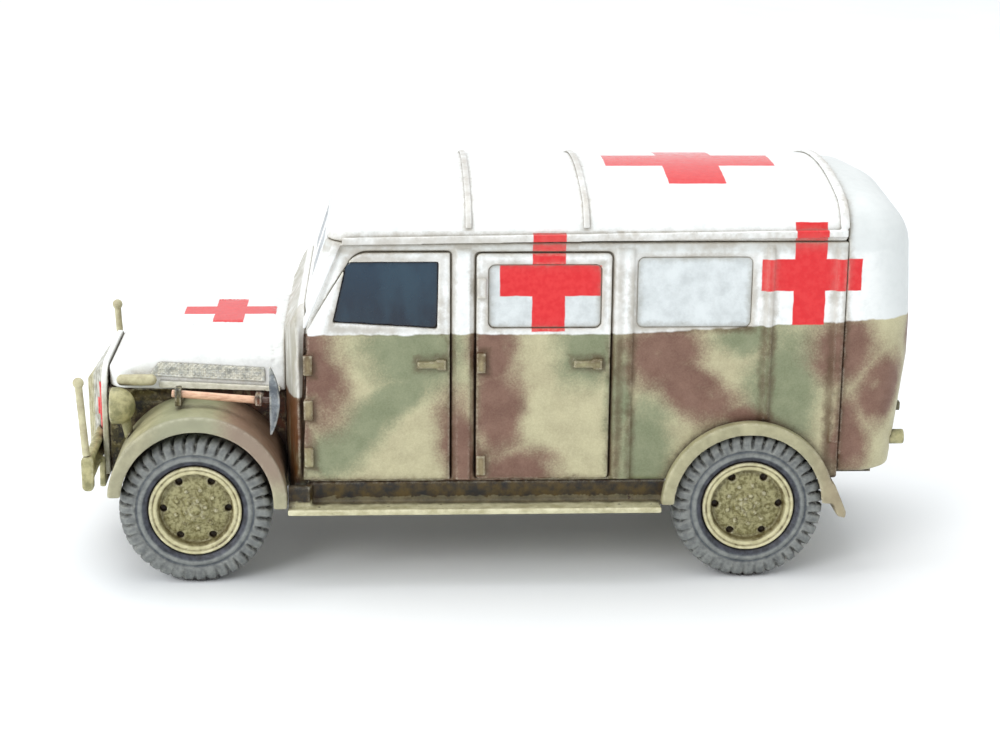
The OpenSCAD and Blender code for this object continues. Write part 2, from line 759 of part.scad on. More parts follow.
module tyre() {
    w = tyre_w;
    r = tyre_r;
    color(c_rubber) spun(tyre_face_y - w) polygon([
        [rim_r, 0.5], [rim_r + 0.9, 0.05], [r - 1.7, 0], [r - 0.8, 0.2], [r - 0.35, 0.45], [r, 1.3],
        [r, w - 1.3], [r - 0.35, w - 0.45], [r - 0.8, w - 0.2], [r - 1.7, w],
        [rim_r + 0.9, w - 0.05], [rim_r, w - 0.5]]);
}

hand_holes = 6;
wheel_nuts = 9;
hub_bolts = 6;
module wheel_disc() {
    w = tyre_w;
    bore_r = stub_r + stub_clearance;
    color(c_sand) translate([0, tyre_face_y - w, 0]) rotate([-90, 0, 0]) difference() {
        union() {
            rotate_extrude($fn = 64) polygon([
                [0, 1.25], [1.5, 1.25], [1.5, 2.1], [3.9, 2.1], [4.3, 0.45], [rim_r - 0.02, 0.45],
                [rim_r - 0.02, w - 0.35], [4.75, w - 0.2], [4.55, w - 0.22],
                [4.42, w - 0.55], [4.28, w - 0.3],
                [4.05, w - 0.35], [3.85, w - 0.6],
                [3.8, w - 1.3], [2.9, w - 1.05], [1.55, w - 0.95],
                [1.45, w - 0.7], [0.62, w - 0.6], [0.5, w - 0.38], [0, w - 0.33]]);
            // rings of fastenings: [how many, radius of the ring, radius of each, foot, height]
            for (ring = [[wheel_nuts, 2.15, 0.25, w - 1.3, 0.6], [hub_bolts, 1.08, 0.24, w - 1, 0.65]])
                for (i = [0:ring[0] - 1])
                    rotate(i * 360 / ring[0] + 15)
                        translate([ring[1], 0, ring[3]]) cylinder(r = ring[2], h = ring[4], $fn = 24);
        }
        // blind bore for the stub
        cylinder(r = bore_r, h = stub_end_y + 0.25 - (tyre_face_y - w));
        // hand holes, blind as on the casting
        for (i = [0:hand_holes - 1])
            rotate(i * 360 / hand_holes) translate([3.38, 0, w - 1.9]) cylinder(r = 0.38, h = 3, $fn = 24);
    }
}

// ---------------------------------------------------------------- assembly

ENDS = ["front", "rear"];
SIDES = ["left", "right"];
axle_xs = [front_axle_x, rear_axle_x];

cabin_block();
roof();
tail_block();
roof_trim();
cab_windows();
ward_windows();
cowl();
bonnet();
engine_bay();
radiator_shell();
radiator_grille();
front_bumper();
pickaxe_head();
pickaxe_handle();
tool_clips();
cross_members();
front_axle();
rear_axle();
gearbox();
transfer_case();
propeller_shafts();
exhaust();
// Pieces in left and right pairs
for (i = [0, 1]) {
    side = 1 - 2 * i;
    hand = SIDES[i];
    front_door_piece(side);
    side_door_piece(side);
    tail_door_piece(side);
    louvre_panel_piece(side);
    front_mudguard_piece(side);
    rear_mudguard_piece(side);
    running_board_piece(side);
    headlamp_piece(side);
    horn_piece(side);
    width_pole_piece(side);
    frame_rail_piece(side);
    tail_lamp_piece(side);
}
// Pieces at each end of each axle
for (e = [0, 1], i = [0, 1]) {
    side = 1 - 2 * i;
    corner = str(ENDS[e], "_", SIDES[i]);
    spring_piece(axle_xs[e], side);
    at_wheel(axle_xs[e], side) tyre();
    at_wheel(axle_xs[e], side) wheel_disc();
}
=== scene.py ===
import json
import math

import bmesh
import bpy
import numpy as np
from mathutils import Matrix, Vector

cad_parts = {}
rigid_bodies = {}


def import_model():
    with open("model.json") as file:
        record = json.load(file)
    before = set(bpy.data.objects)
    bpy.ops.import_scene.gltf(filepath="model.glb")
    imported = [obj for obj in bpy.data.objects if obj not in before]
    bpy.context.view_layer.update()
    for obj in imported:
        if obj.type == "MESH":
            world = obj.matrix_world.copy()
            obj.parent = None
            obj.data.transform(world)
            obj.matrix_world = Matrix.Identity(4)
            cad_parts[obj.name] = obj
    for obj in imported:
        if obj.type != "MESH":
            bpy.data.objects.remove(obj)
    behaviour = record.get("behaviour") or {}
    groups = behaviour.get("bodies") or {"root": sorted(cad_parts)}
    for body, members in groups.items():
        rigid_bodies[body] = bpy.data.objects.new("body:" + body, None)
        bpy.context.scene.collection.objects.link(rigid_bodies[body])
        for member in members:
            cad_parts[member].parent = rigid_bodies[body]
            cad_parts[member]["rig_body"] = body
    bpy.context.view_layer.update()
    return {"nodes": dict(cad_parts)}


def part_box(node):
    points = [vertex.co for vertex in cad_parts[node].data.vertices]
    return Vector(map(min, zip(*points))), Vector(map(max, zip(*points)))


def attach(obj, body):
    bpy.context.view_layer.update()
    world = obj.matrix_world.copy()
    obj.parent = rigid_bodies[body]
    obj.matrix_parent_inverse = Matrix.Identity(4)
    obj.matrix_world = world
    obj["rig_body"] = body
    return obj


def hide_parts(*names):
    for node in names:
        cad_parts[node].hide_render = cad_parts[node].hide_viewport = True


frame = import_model()
scene = bpy.context.scene
MM = 0.001

# ---------------------------------------------------------------- camera, light and floor

CAMERA_PLACE = Vector((9.892, 226.30, 84.126)) * MM
CAMERA_YAW, CAMERA_PITCH, CAMERA_ROLL = -0.0503, 0.2847, 0.0086
CAMERA_LENS, CAMERA_SENSOR = 76.58, 36.0


def make_camera():
    """A camera at the photograph's viewing angle: in front of the left side and a little above the roof."""
    forward = Vector((math.sin(CAMERA_YAW) * math.cos(CAMERA_PITCH),
                      -math.cos(CAMERA_YAW) * math.cos(CAMERA_PITCH), -math.sin(CAMERA_PITCH)))
    right = Vector((-math.cos(CAMERA_YAW), -math.sin(CAMERA_YAW), 0.0))
    up = right.cross(forward)
    turned_right = math.cos(CAMERA_ROLL) * right + math.sin(CAMERA_ROLL) * up
    turned_up = math.cos(CAMERA_ROLL) * up - math.sin(CAMERA_ROLL) * right
    data = bpy.data.cameras.new("camera")
    data.lens, data.sensor_width = CAMERA_LENS, CAMERA_SENSOR
    data.clip_start, data.clip_end = 0.01, 20.0
    camera = bpy.data.objects.new("camera", data)
    turn = Matrix((turned_right, turned_up, -forward)).transposed().to_4x4()
    camera.matrix_world = Matrix.Translation(CAMERA_PLACE) @ turn
    scene.collection.objects.link(camera)
    scene.camera = camera


def area_light(name, place, aim, size, watts):
    data = bpy.data.lights.new(name, "AREA")
    data.shape, data.size, data.energy = "DISK", size, watts
    light = bpy.data.objects.new(name, data)
    light.location = place
    light.rotation_euler = (Vector(aim) - Vector(place)).to_track_quat("-Z", "Y").to_euler()
    scene.collection.objects.link(light)


make_camera()
scene.view_settings.view_transform = "Standard"
world = bpy.data.worlds.new("studio")
world.use_nodes = True
world.node_tree.nodes["Background"].inputs["Color"].default_value = (0.97, 0.985, 1.0, 1.0)
world.node_tree.nodes["Background"].inputs["Strength"].default_value = 0.93
scene.world = world
area_light("overhead", (0.05, -0.12, 0.62), (0.0, 0.0, 0.02), 0.5, 1.7)
area_light("front_fill", (0.62, 0.16, 0.20), (0.03, 0.0, 0.0), 0.3, 0.7)
area_light("camera_side", (0.42, 0.56, 0.42), (0.0, 0.0, 0.02), 0.36, 2.1)

# ---------------------------------------------------------------- node building


def linear(red, green, blue):
    """A colour given as it is seen on a screen, as the linear values that the shader takes."""
    def channel(c):
        return c / 255 / 12.92 if c <= 10 else ((c / 255 + 0.055) / 1.055) ** 2.4
    return channel(red), channel(green), channel(blue), 1.0


SIDE_LIGHT = 1.12
SHEEN_OF_PAINT = 0.035


def seen(red, green, blue):
    """The paint that looks this colour on the truck's side, once light and sheen are allowed for."""
    return tuple(max(0.004, (c - SHEEN_OF_PAINT) / SIDE_LIGHT) for c in linear(red, green, blue)[:3]) + (1.0,)


class Nodes:
    """Adds nodes to a tree. An input may be a number, a colour, a vector or another node's output."""

    def __init__(self, tree):
        self.tree = tree

    def add(self, kind, inputs, out=0, **settings):
        node = self.tree.nodes.new("ShaderNode" + kind)
        for key, value in settings.items():
            setattr(node, key, value)
        for key, value in inputs.items():
            if isinstance(value, bpy.types.NodeSocket):
                self.tree.links.new(value, node.inputs[key])
            else:
                node.inputs[key].default_value = value
        return node.outputs[out]

    def math(self, operation, a, b=0.0, clamp=False):
        return self.add("Math", {0: a, 1: b}, operation=operation, use_clamp=clamp)

    def step(self, value, low, high, to_low=0.0, to_high=1.0):
        """0 to 1 (or to_low to to_high) in a smooth step as the value goes from low to high."""
        if low > high:
            low, high, to_low, to_high = high, low, to_high, to_low
        return self.add("MapRange", {0: value, 1: low, 2: high, 3: to_low, 4: to_high},
                        interpolation_type="SMOOTHSTEP")

    def mix(self, share, a, b):
        """Colour a where the share is 0, colour b where it is 1."""
        return self.add("Mix", {0: share, 6: a, 7: b}, out=2, data_type="RGBA")

    def noise(self, place, scale, detail=2.0, rough=0.5):
        return self.add("TexNoise", {"Vector": place, "Scale": scale, "Detail": detail, "Roughness": rough})

    def group(self, tree, place):
        """The outputs of a pattern made by group_tree."""
        node = self.tree.nodes.new("ShaderNodeGroup")
        node.node_tree = tree
        self.tree.links.new(place, node.inputs[0])
        return node.outputs

    def place(self):
        """Where a point is on the object, in millimetres."""
        where = self.add("TexCoord", {}, out=3)
        return self.add("VectorMath", {0: where, "Scale": 1000.0}, operation="SCALE")


def group_tree(name, outputs):
    tree = bpy.data.node_groups.new(name, "ShaderNodeTree")
    tree.interface.new_socket("Place", in_out="INPUT", socket_type="NodeSocketVector")
    for out in outputs:
        tree.interface.new_socket(out, in_out="OUTPUT", socket_type="NodeSocketFloat")
    start, end = tree.nodes.new("NodeGroupInput"), tree.nodes.new("NodeGroupOutput")
    return tree, Nodes(tree), start.outputs[0], end


def split(g, place):
    node = g.tree.nodes.new("ShaderNodeSeparateXYZ")
    g.tree.links.new(place, node.inputs[0])
    return node.outputs


# ---------------------------------------------------------------- painted patterns, in mm on the truck

BODY_SIDE_Y = 15.9
# one row for each sprayed patch: middle along the side and in height, half length, half height, tilt in
# degrees. On the left, along the side is x, and it runs on round the corner over the back; on the right it
# is FAR_SIDE_FOLD less that.
GREEN_PATCHES = [
    (8.2, 24.8, 6.0, 4.4, 12), (10.2, 20.2, 5.4, 1.9, -40), (16.4, 14.4, 5.0, 2.8, -34),
    (13.2, 17.4, 3.4, 2.4, -40), (-9.6, 25.2, 3.4, 4.4, 14), (-15.6, 14.0, 3.2, 6.6, 12),
    (-12.9, 20.5, 1.5, 6.5, 0), (-29.9, 20.0, 3.9, 8.6, 8), (-26.0, 26.2, 3.6, 1.8, -14),
    (37.6, 13.6, 3.6, 3.2, 50), (29.5, 18.0, 4.5, 1.4, 0), (-50.0, 17.0, 4.4, 6.2, 0),
    (-57.8, 26.0, 3.8, 4.4, 0), (-20.6, 6.6, 2.0, 3.2, 0), (26.5, 20.5, 3.0, 4.0, 0),
    (33.5, 13.0, 4.0, 5.0, 0), (21.0, 11.0, 1.6, 2.4, 0),
]
BROWN_PATCHES = [
    (18.9, 22.8, 3.6, 6.4, -16), (3.4, 14.4, 2.6, 6.0, -12), (0.4, 24.6, 2.6, 4.6, 0),
    (-0.4, 18.6, 2.9, 6.4, 4), (-2.4, 12.2, 4.6, 2.6, -14), (-17.3, 24.6, 4.6, 4.0, 0),
    (-20.8, 20.6, 6.4, 3.0, 34), (-26.6, 16.9, 3.8, 1.9, 20), (-36.4, 25.0, 4.2, 3.6, -10),
    (-40.9, 20.6, 3.2, 4.4, 40), (-37.2, 15.6, 2.4, 5.2, 0), (24.6, 15.0, 3.8, 2.6, -46),
    (20.6, 16.8, 1.8, 4.6, 0), (-47.4, 26.2, 3.2, 3.2, 0), (-54.4, 21.0, 3.8, 5.6, 12),
    (-58.6, 12.6, 3.6, 3.2, 0), (28.6, 24.0, 3.5, 3.0, 0),
]
FAR_SIDE_FOLD = -24.0


def camouflage_group():
    """Two masks, green and red-brown, of soft sprayed patches that go round the truck's side to its back."""
    tree, g, place, end = group_tree("camouflage", ("Green", "Brown"))
    x, y, z = split(g, place)
    along = g.math("ADD", x, g.math("SUBTRACT", g.math("ABSOLUTE", y), BODY_SIDE_Y))
    far = g.math("LESS_THAN", y, 0.0)
    folded = g.math("SUBTRACT", FAR_SIDE_FOLD, along)
    along = g.add("Mix", {0: far, 2: along, 3: folded}, data_type="FLOAT")
    flat = g.add("CombineXYZ", {0: along, 1: z})
    waver = g.add("TexNoise", {"Vector": flat, "Scale": 0.26, "Detail": 1.5}, out=1)
    waver = g.add("VectorMath", {0: waver, 1: (0.5, 0.5, 0.5)}, operation="SUBTRACT")
    waver = g.add("VectorMath", {0: waver, "Scale": 2.6}, operation="SCALE")
    flat = g.add("VectorMath", {0: flat, 1: waver}, operation="ADD")
    grain = g.math("SUBTRACT", g.noise(place, 5.0, 3.0, 0.7), 0.5)
    for index, patches in enumerate((GREEN_PATCHES, BROWN_PATCHES)):
        nearest = None
        for u, v, half_u, half_v, tilt in patches:
            frame_of_patch = {"Location": (u, v, 0.0), "Rotation": (0.0, 0.0, math.radians(tilt)),
                              "Scale": (half_u, half_v, 1.0)}
            turned = g.add("Mapping", {0: flat, **frame_of_patch}, vector_type="TEXTURE")
            reach = g.add("VectorMath", {0: turned}, out=1, operation="LENGTH")
            nearest = reach if nearest is None else g.math("MINIMUM", nearest, reach)
        sprayed = g.math("ADD", nearest, g.math("MULTIPLY", grain, 0.6))
        tree.links.new(g.step(sprayed, 1.40, 0.52), end.inputs[index])
    return tree


def box_reach(g, a, b, rect):
    """How far outside a rectangle a point is; below 0 inside it."""
    def over(value, low, high):
        away = g.math("ABSOLUTE", g.math("SUBTRACT", value, (low + high) / 2))
        return g.math("SUBTRACT", away, (high - low) / 2)
    return g.math("MAXIMUM", over(a, *rect[:2]), over(b, *rect[2:]))


SIDE_CROSSES = [((-11.02, -0.62, 30.8, 34.1), (-7.32, -3.92, 27.15, 37.4)),
                ((-37.82, -27.47, 31.3, 34.65), (-34.12, -30.82, 27.7, 38.4))]
ROOF_CROSS_X, ROOF_CROSS_ARM = -21.52, 6.06
BONNET_CROSS_X, BONNET_CROSS_ARM = 27.98, 3.30
GRILLE_CROSS_Y, GRILLE_CROSS_Z = 6.2, 16.0


def upper_cross(middle, arm):
    half, third = arm * 1.5, arm / 2
    return ((middle - half, middle + half, -third, third), (middle - third, middle + third, -half, half))


def crosses_group():
    """One mask of the red crosses: two on each side, one each on roof and bonnet, one on each grille face."""
    tree, g, place, end = group_tree("crosses", ("Red",))
    shaky = g.add("TexNoise", {"Vector": place, "Scale": 0.9, "Detail": 2.0}, out=1)
    shaky = g.add("VectorMath", {0: shaky, 1: (0.5, 0.5, 0.5)}, operation="SUBTRACT")
    shaky = g.add("VectorMath", {0: shaky, "Scale": 0.16}, operation="SCALE")
    x, y, z = split(g, g.add("VectorMath", {0: place, 1: shaky}, operation="ADD"))
    aside = g.math("ABSOLUTE", y)

    def cross(a, b, rects, *limits):
        reach = g.math("MINIMUM", box_reach(g, a, b, rects[0]), box_reach(g, a, b, rects[1]))
        red = g.step(reach, 0.06, -0.06)
        for value, least in limits:
            red = g.math("MULTIPLY", red, g.math("GREATER_THAN", value, least))
        return red

    grille = ((GRILLE_CROSS_Y - 1.9, GRILLE_CROSS_Y + 1.9, GRILLE_CROSS_Z - 0.95, GRILLE_CROSS_Z + 0.95),
              (GRILLE_CROSS_Y - 1.0, GRILLE_CROSS_Y + 1.0, GRILLE_CROSS_Z - 2.9, GRILLE_CROSS_Z + 2.9))
    reds = [cross(x, z, rects, (aside, 14.0)) for rects in SIDE_CROSSES]
    reds.append(cross(x, y, upper_cross(ROOF_CROSS_X, ROOF_CROSS_ARM), (z, 40.3)))
    reds.append(cross(x, y, upper_cross(BONNET_CROSS_X, BONNET_CROSS_ARM), (x, 21.0), (z, 24.4)))
    reds.append(cross(aside, z, grille, (x, 40.7)))
    total = reds[0]
    for red in reds[1:]:
        total = g.math("MAXIMUM", total, red)
    tree.links.new(total, end.inputs[0])
    return tree


# rectangles whose outlines collect grime on the sides: rear x, front x, bottom z, top z
SIDE_SEAMS = [(4.3, 19.9, 11.0, 35.6), (-12.25, 1.95, 11.0, 35.5),      # doors
              (-11.1, 0.6, 27.4, 34.2), (-26.6, -14.7, 27.4, 34.9)]     # windows
SIDE_LINES = [-14.3, -12.9, -28.7, -28.0, -36.3, -35.1, 20.6, 21.6]
HINGE_HALF_X, HINGE_HALF_Z = 0.45, 1.05
HINGES = [(19.05, z) for z in (23.7, 18.9, 13.8)] + [(1.25, z) for z in (31.8, 23.9, 12.8)]
SIDE_SEAMS += [(x - HINGE_HALF_X, x + HINGE_HALF_X, z - HINGE_HALF_Z, z + HINGE_HALF_Z) for x, z in HINGES]
SIDE_SEAMS += [(x - 1.6, x + 1.3, 23.3, 24.2) for x in (6.5, -9.6)]     # handles
FITTING_FACE_Y = 16.38
TAIL_SEAMS = [(0.0, 11.5, 13.1, 34.9), (2.2, 9.4, 28.2, 33.6)]
ROOF_LINES = [2.6, -9.4, -36.3]
GUTTER_Z, GUTTER_REAR_X, ROOF_FOOT_Z = 36.5, -36.6, 37.6
CAB_PANE, CAB_PANE_LEAN = (5.5, 16.7, 27.4, 34.7), 0.24


def grime_and_shade_group():
    """One mask of dirt that has settled along the seams, the pillars and the window rims, and of painted shade
    in a wide band along the gutter.
    """
    tree, g, place, end = group_tree("grime_and_shade", ("GrimeAndShade",))
    x, y, z = split(g, place)
    aside = g.math("ABSOLUTE", y)

    def least(distances):
        nearest = distances[0]
        for distance in distances[1:]:
            nearest = g.math("MINIMUM", nearest, distance)
        return nearest

    def outline(a, b, rect):
        return g.math("ABSOLUTE", box_reach(g, a, b, rect))

    def line(value, at):
        return g.math("ABSOLUTE", g.math("SUBTRACT", value, at))

    # painted shade along the gutter: its band is twice as wide as a seam's and stops at the gutter's rear end
    gutter = g.math("ADD", g.math("MULTIPLY", line(z, GUTTER_Z), 0.5), g.math("LESS_THAN", x, GUTTER_REAR_X))
    leaning = g.math("ADD", x, g.math("MULTIPLY", g.math("SUBTRACT", z, CAB_PANE[2]), CAB_PANE_LEAN))
    front = g.math("SUBTRACT", leaning, CAB_PANE[1])
    pane = g.math("ABSOLUTE", g.math("MAXIMUM", box_reach(g, x, z, CAB_PANE), front))
    seams = [outline(x, z, rect) for rect in SIDE_SEAMS]
    side = least(seams + [line(x, at) for at in SIDE_LINES] + [gutter, pane])
    side = g.math("ADD", side, g.math("MULTIPLY", g.math("GREATER_THAN", z, ROOF_FOOT_Z), 9.0))
    side = g.math("ADD", side, g.math("MULTIPLY", g.math("LESS_THAN", aside, 13.4), 9.0))
    tail = least([outline(aside, z, rect) for rect in TAIL_SEAMS])
    tail = g.math("ADD", tail, g.math("MULTIPLY", g.math("GREATER_THAN", x, -41.5), 9.0))
    roof = least([line(x, at) for at in ROOF_LINES])
    roof = g.math("ADD", roof, g.math("MULTIPLY", g.math("LESS_THAN", z, ROOF_FOOT_Z), 9.0))
    nearest = g.math("MINIMUM", least([side, tail]), roof)
    ragged = g.math("MULTIPLY", g.math("SUBTRACT", g.noise(place, 1.1, 5.0, 0.7), 0.5), 1.5)
    dirt_and_shade = g.step(g.math("ADD", nearest, ragged), 0.85, 0.0)
    patchy = g.step(g.noise(place, 0.35, 3.0), 0.25, 0.65, 0.35, 1.0)
    tree.links.new(g.math("MULTIPLY", dirt_and_shade, patchy), end.inputs[0])
    return tree


BELT_Z, BELT_RISE, COWL_DROP = 26.85, 1.5, 6.8


def white_group():
    """One mask of the white upper half, down to an uneven painted line at the belt, lower on the cowl."""
    tree, g, place, end = group_tree("white_upper", ("White",))
    x, y, z = split(g, place)
    along = g.math("ADD", x, g.math("SUBTRACT", g.math("ABSOLUTE", y), BODY_SIDE_Y))
    rise = g.math("MULTIPLY", g.step(along, -10.0, -46.0), BELT_RISE)
    drop = g.math("MULTIPLY", g.step(x, 19.45, 19.75), COWL_DROP)
    line = g.math("SUBTRACT", g.math("ADD", rise, BELT_Z), drop)
    line = g.math("ADD", line, g.math("MULTIPLY", g.math("SUBTRACT", g.noise(place, 0.7, 3.0), 0.5), 0.55))
    above = g.math("SUBTRACT", z, line)
    tree.links.new(g.step(above, -0.10, 0.12), end.inputs[0])
    return tree


CAMOUFLAGE, CROSSES, WHITE_UPPER, GRIME_AND_SHADE = camouflage_group(), crosses_group(), white_group(), grime_and_shade_group()

# ---------------------------------------------------------------- paints

SAND, SAND_DULL = seen(204, 199, 163), seen(176, 168, 138)
GREEN, GREEN_DULL = seen(150, 155, 126), seen(124, 131, 103)
BROWN, BROWN_DULL = seen(142, 113, 99), seen(116, 88, 77)
WHITE, WHITE_DULL = linear(233, 235, 234), linear(218, 221, 220)
RED, RED_DULL = seen(228, 66, 68), seen(222, 56, 60)
# the wash's colours, which also carry the painted shade in seams, gaps and where parts meet
DARK_WASH_AND_SHADE, PALE_WASH_AND_SHADE, BLACK_WASH_AND_SHADE = seen(84, 66, 44), linear(164, 157, 143), seen(60, 46, 32)


def camouflage_colour(g, place):
    """Sand paint with sprayed green and red-brown, each a little uneven."""
    green, brown = g.group(CAMOUFLAGE, place)
    cloudy = g.step(g.noise(place, 0.45, 4.0, 0.6), 0.3, 0.7)
    grain = g.step(g.noise(place, 6.5, 3.0, 0.75), 0.3, 0.72)
    uneven = g.math("MULTIPLY", g.math("ADD", cloudy, grain), 0.5)
    colour = g.mix(uneven, SAND_DULL, SAND)
    colour = g.mix(green, colour, g.mix(uneven, GREEN_DULL, GREEN))
    return g.mix(brown, colour, g.mix(uneven, BROWN_DULL, BROWN))


def white_colour(g, place):
    uneven = g.step(g.noise(place, 0.8, 4.0, 0.65), 0.28, 0.6)
    return g.mix(uneven, WHITE_DULL, WHITE)


def with_crosses(g, place, colour):
    uneven = g.step(g.noise(place, 1.6, 3.0), 0.35, 0.65)
    return g.mix(g.group(CROSSES, place)[0], colour, g.mix(uneven, RED_DULL, RED))


def washed_shaded_and_rubbed(g, place, colour, pale, reach, depth, edge, dark):
    """Thinned dark paint in the seams together with painted shade, both growing with occlusion and near black
    in deep gaps and where parts meet; paler paint rubbed over the edges, and faint dirt.
    """
    open_sky = g.add("AmbientOcclusion", {"Distance": reach * MM}, out=1, samples=4)
    broken = g.math("MULTIPLY", g.math("SUBTRACT", g.noise(place, 1.5, 4.0, 0.7), 0.5), 0.5)
    open_sky = g.math("ADD", open_sky, broken)
    # painted shade with the wash: darker as occlusion within reach grows, near black in the deepest gaps
    wash_and_shade = g.math("MULTIPLY", g.step(open_sky, 0.88, 0.32), depth, clamp=True)
    deep_wash_and_shade = g.math("MULTIPLY", g.step(open_sky, 0.50, 0.12), 0.9 * depth, clamp=True)
    if pale is None:
        tint, black = dark, BLACK_WASH_AND_SHADE
    else:
        tint = g.mix(pale, dark, PALE_WASH_AND_SHADE)
        black = g.mix(pale, BLACK_WASH_AND_SHADE, linear(124, 115, 100))
    colour = g.mix(wash_and_shade, colour, tint)
    colour = g.mix(deep_wash_and_shade, colour, black)
    solid = g.add("AmbientOcclusion", {"Distance": 0.28 * MM}, out=1, samples=3, inside=True, only_local=True)
    rubbed = g.math("MULTIPLY", g.step(solid, 0.93, 0.55), g.step(g.noise(place, 1.8, 4.0, 0.7), 0.38, 0.62))
    return g.mix(g.math("MULTIPLY", rubbed, edge), colour, g.mix(0.65, colour, linear(247, 243, 222))), wash_and_shade


def paint(name, colour_of, reach=0.9, depth=0.8, edge=0.7, gloss=0.42, relief=0.35, grain=2.4, pale_of=None,
          dark=DARK_WASH_AND_SHADE, film_of=None):
    """A hand-painted finish.

    colour_of(g, place) gives its colour, pale_of where its wash and painted shade are pale and film_of where
    its decals are.
    reach (mm) and depth are those of the wash and painted shade, edge is how far the edges are rubbed, relief
    and grain the bump's.
    """
    material = bpy.data.materials.new(name)
    material.use_nodes = True
    tree = material.node_tree
    tree.nodes.clear()
    g = Nodes(tree)
    place = g.place()
    pale = pale_of(g, place) if pale_of else None
    colour, wash_and_shade = washed_shaded_and_rubbed(g, place, colour_of(g, place), pale, reach, depth, edge, dark)
    smear = g.noise(place, 1.1, 4.0, 0.6)
    rough = g.step(smear, 0.25, 0.75, gloss - 0.09, gloss + 0.11)
    rough = g.math("ADD", rough, g.math("MULTIPLY", wash_and_shade, 0.2), clamp=True)
    if film_of:
        rough = g.math("SUBTRACT", rough, g.math("MULTIPLY", film_of(g, place), gloss - 0.14), clamp=True)
    height = g.math("ADD", g.noise(place, grain, 4.0, 0.65), g.math("MULTIPLY", smear, 0.8))
    bump = g.add("Bump", {"Height": height, "Strength": relief, "Distance": 0.06 * MM})
    surface = tree.nodes.new("ShaderNodeBsdfPrincipled")
    tree.links.new(colour, surface.inputs["Base Color"])
    tree.links.new(rough, surface.inputs["Roughness"])
    tree.links.new(bump, surface.inputs["Normal"])
    out = tree.nodes.new("ShaderNodeOutputMaterial")
    tree.links.new(surface.outputs[0], out.inputs[0])
    return material


def decal_film(g, place):
    return g.group(CROSSES, place)[0]


def body_colour(g, place):
    white = g.group(WHITE_UPPER, place)[0]
    grime_and_shade = g.group(GRIME_AND_SHADE, place)[0]
    x, y, z = split(g, place)
    # painted shade: the white greys below the gutter and over the tail
    shaded = g.math("MAXIMUM", g.step(z, 34.8, 35.7), g.step(x, -36.5, -41.5))
    white_with_painted_shade = g.mix(g.math("MULTIPLY", shaded, 0.75), white_colour(g, place), linear(204, 209, 208))
    fitting = g.step(g.math("ABSOLUTE", y), FITTING_FACE_Y, FITTING_FACE_Y + 0.08, 0.0, 0.65)
    sprayed = g.mix(fitting, camouflage_colour(g, place), seen(176, 168, 128))
    colour = g.mix(white, sprayed, white_with_painted_shade)
    # the grime colour, which also carries the painted shade along the gutter
    grime_and_shade_colour = g.mix(white, seen(92, 74, 52), linear(160, 153, 140))
    colour = g.mix(g.math("MULTIPLY", grime_and_shade, 0.72), colour, grime_and_shade_colour)
    streaks = g.noise(g.add("Mapping", {0: place, "Scale": (1.0, 1.0, 0.15)}), 1.3, 4.0, 0.7)
    scuttle = g.math("MULTIPLY", g.step(x, 19.9, 20.3), g.step(streaks, 0.32, 0.58, 0.35, 0.95))
    colour = g.mix(scuttle, colour, g.mix(white, seen(104, 74, 52), linear(158, 155, 140)))
    colour = with_crosses(g, place, colour)
    return g.mix(g.math("MULTIPLY", grime_and_shade, 0.16), colour, grime_and_shade_colour)


def body_pale(g, place):
    return g.group(WHITE_UPPER, place)[0]


def roof_colour(g, place):
    grime_and_shade = g.group(GRIME_AND_SHADE, place)[0]
    # the grime colour, which also carries the painted shade along the gutter
    grime_and_shade_colour = linear(168, 161, 148)
    colour = g.mix(g.math("MULTIPLY", grime_and_shade, 0.7), white_colour(g, place), grime_and_shade_colour)
    return g.mix(g.math("MULTIPLY", grime_and_shade, 0.12), with_crosses(g, place, colour), grime_and_shade_colour)


def always_pale(g, place):
    """A pale wash everywhere, a little darker here and there."""
    return g.step(g.noise(place, 0.5), 0.0, 0.4)


def two_tone(first, second):
    """A colour function for one paint that drifts between two near tones."""
    def colour(g, place):
        return g.mix(g.step(g.noise(place, 0.8, 5.0, 0.65), 0.35, 0.65), first, second)
    return colour


def louvre_colour(g, place):
    """White paint that the wash has turned grey in the perforated field, cleaner on the rim and the bead."""
    z = split(g, place)[2]
    patchy = g.step(g.noise(place, 1.2, 4.0), 0.3, 0.7)
    field = g.mix(patchy, linear(150, 153, 148), linear(196, 199, 194))
    bead = g.mix(patchy, linear(196, 194, 176), linear(226, 224, 210))
    return g.mix(g.step(z, 20.30, 20.05), field, bead)


def guard_colour(g, place):
    """Sand with an olive bloom on top, red-brown over the front guards' rear, and a greyer outer lip."""
    x, y, z = split(g, place)
    cloudy = g.step(g.noise(place, 0.6, 4.0, 0.6), 0.3, 0.7)
    base = g.mix(cloudy, seen(158, 154, 122), seen(186, 181, 146))
    grain = g.math("MULTIPLY", g.math("SUBTRACT", g.noise(place, 4.0, 3.0, 0.7), 0.5), 2.4)
    drift = g.math("ADD", x, grain)
    from_crown = g.math("ABSOLUTE", g.math("SUBTRACT", drift, 31.5))
    olive = g.math("MULTIPLY", g.step(from_crown, 4.6, 2.0), g.step(z, 13.0, 17.0))
    colour = g.mix(g.math("MULTIPLY", olive, 0.6), base, GREEN)
    front_rear = g.math("MULTIPLY", g.step(drift, 29.4, 26.4), g.math("GREATER_THAN", x, 2.0))
    brown = g.math("MULTIPLY", front_rear, g.step(g.math("ADD", z, grain), 9.5, 13.0))
    colour = g.mix(g.math("MULTIPLY", brown, 0.85), colour, BROWN)
    tail = g.math("MULTIPLY", g.step(drift, -32.0, -36.0), 0.4)
    colour = g.mix(tail, colour, BROWN)
    outer = g.math("MULTIPLY", g.step(g.math("ABSOLUTE", y), 17.1, 17.4), g.step(x, 2.0, 3.0, 0.1, 0.3))
    return g.mix(outer, colour, seen(162, 160, 148))


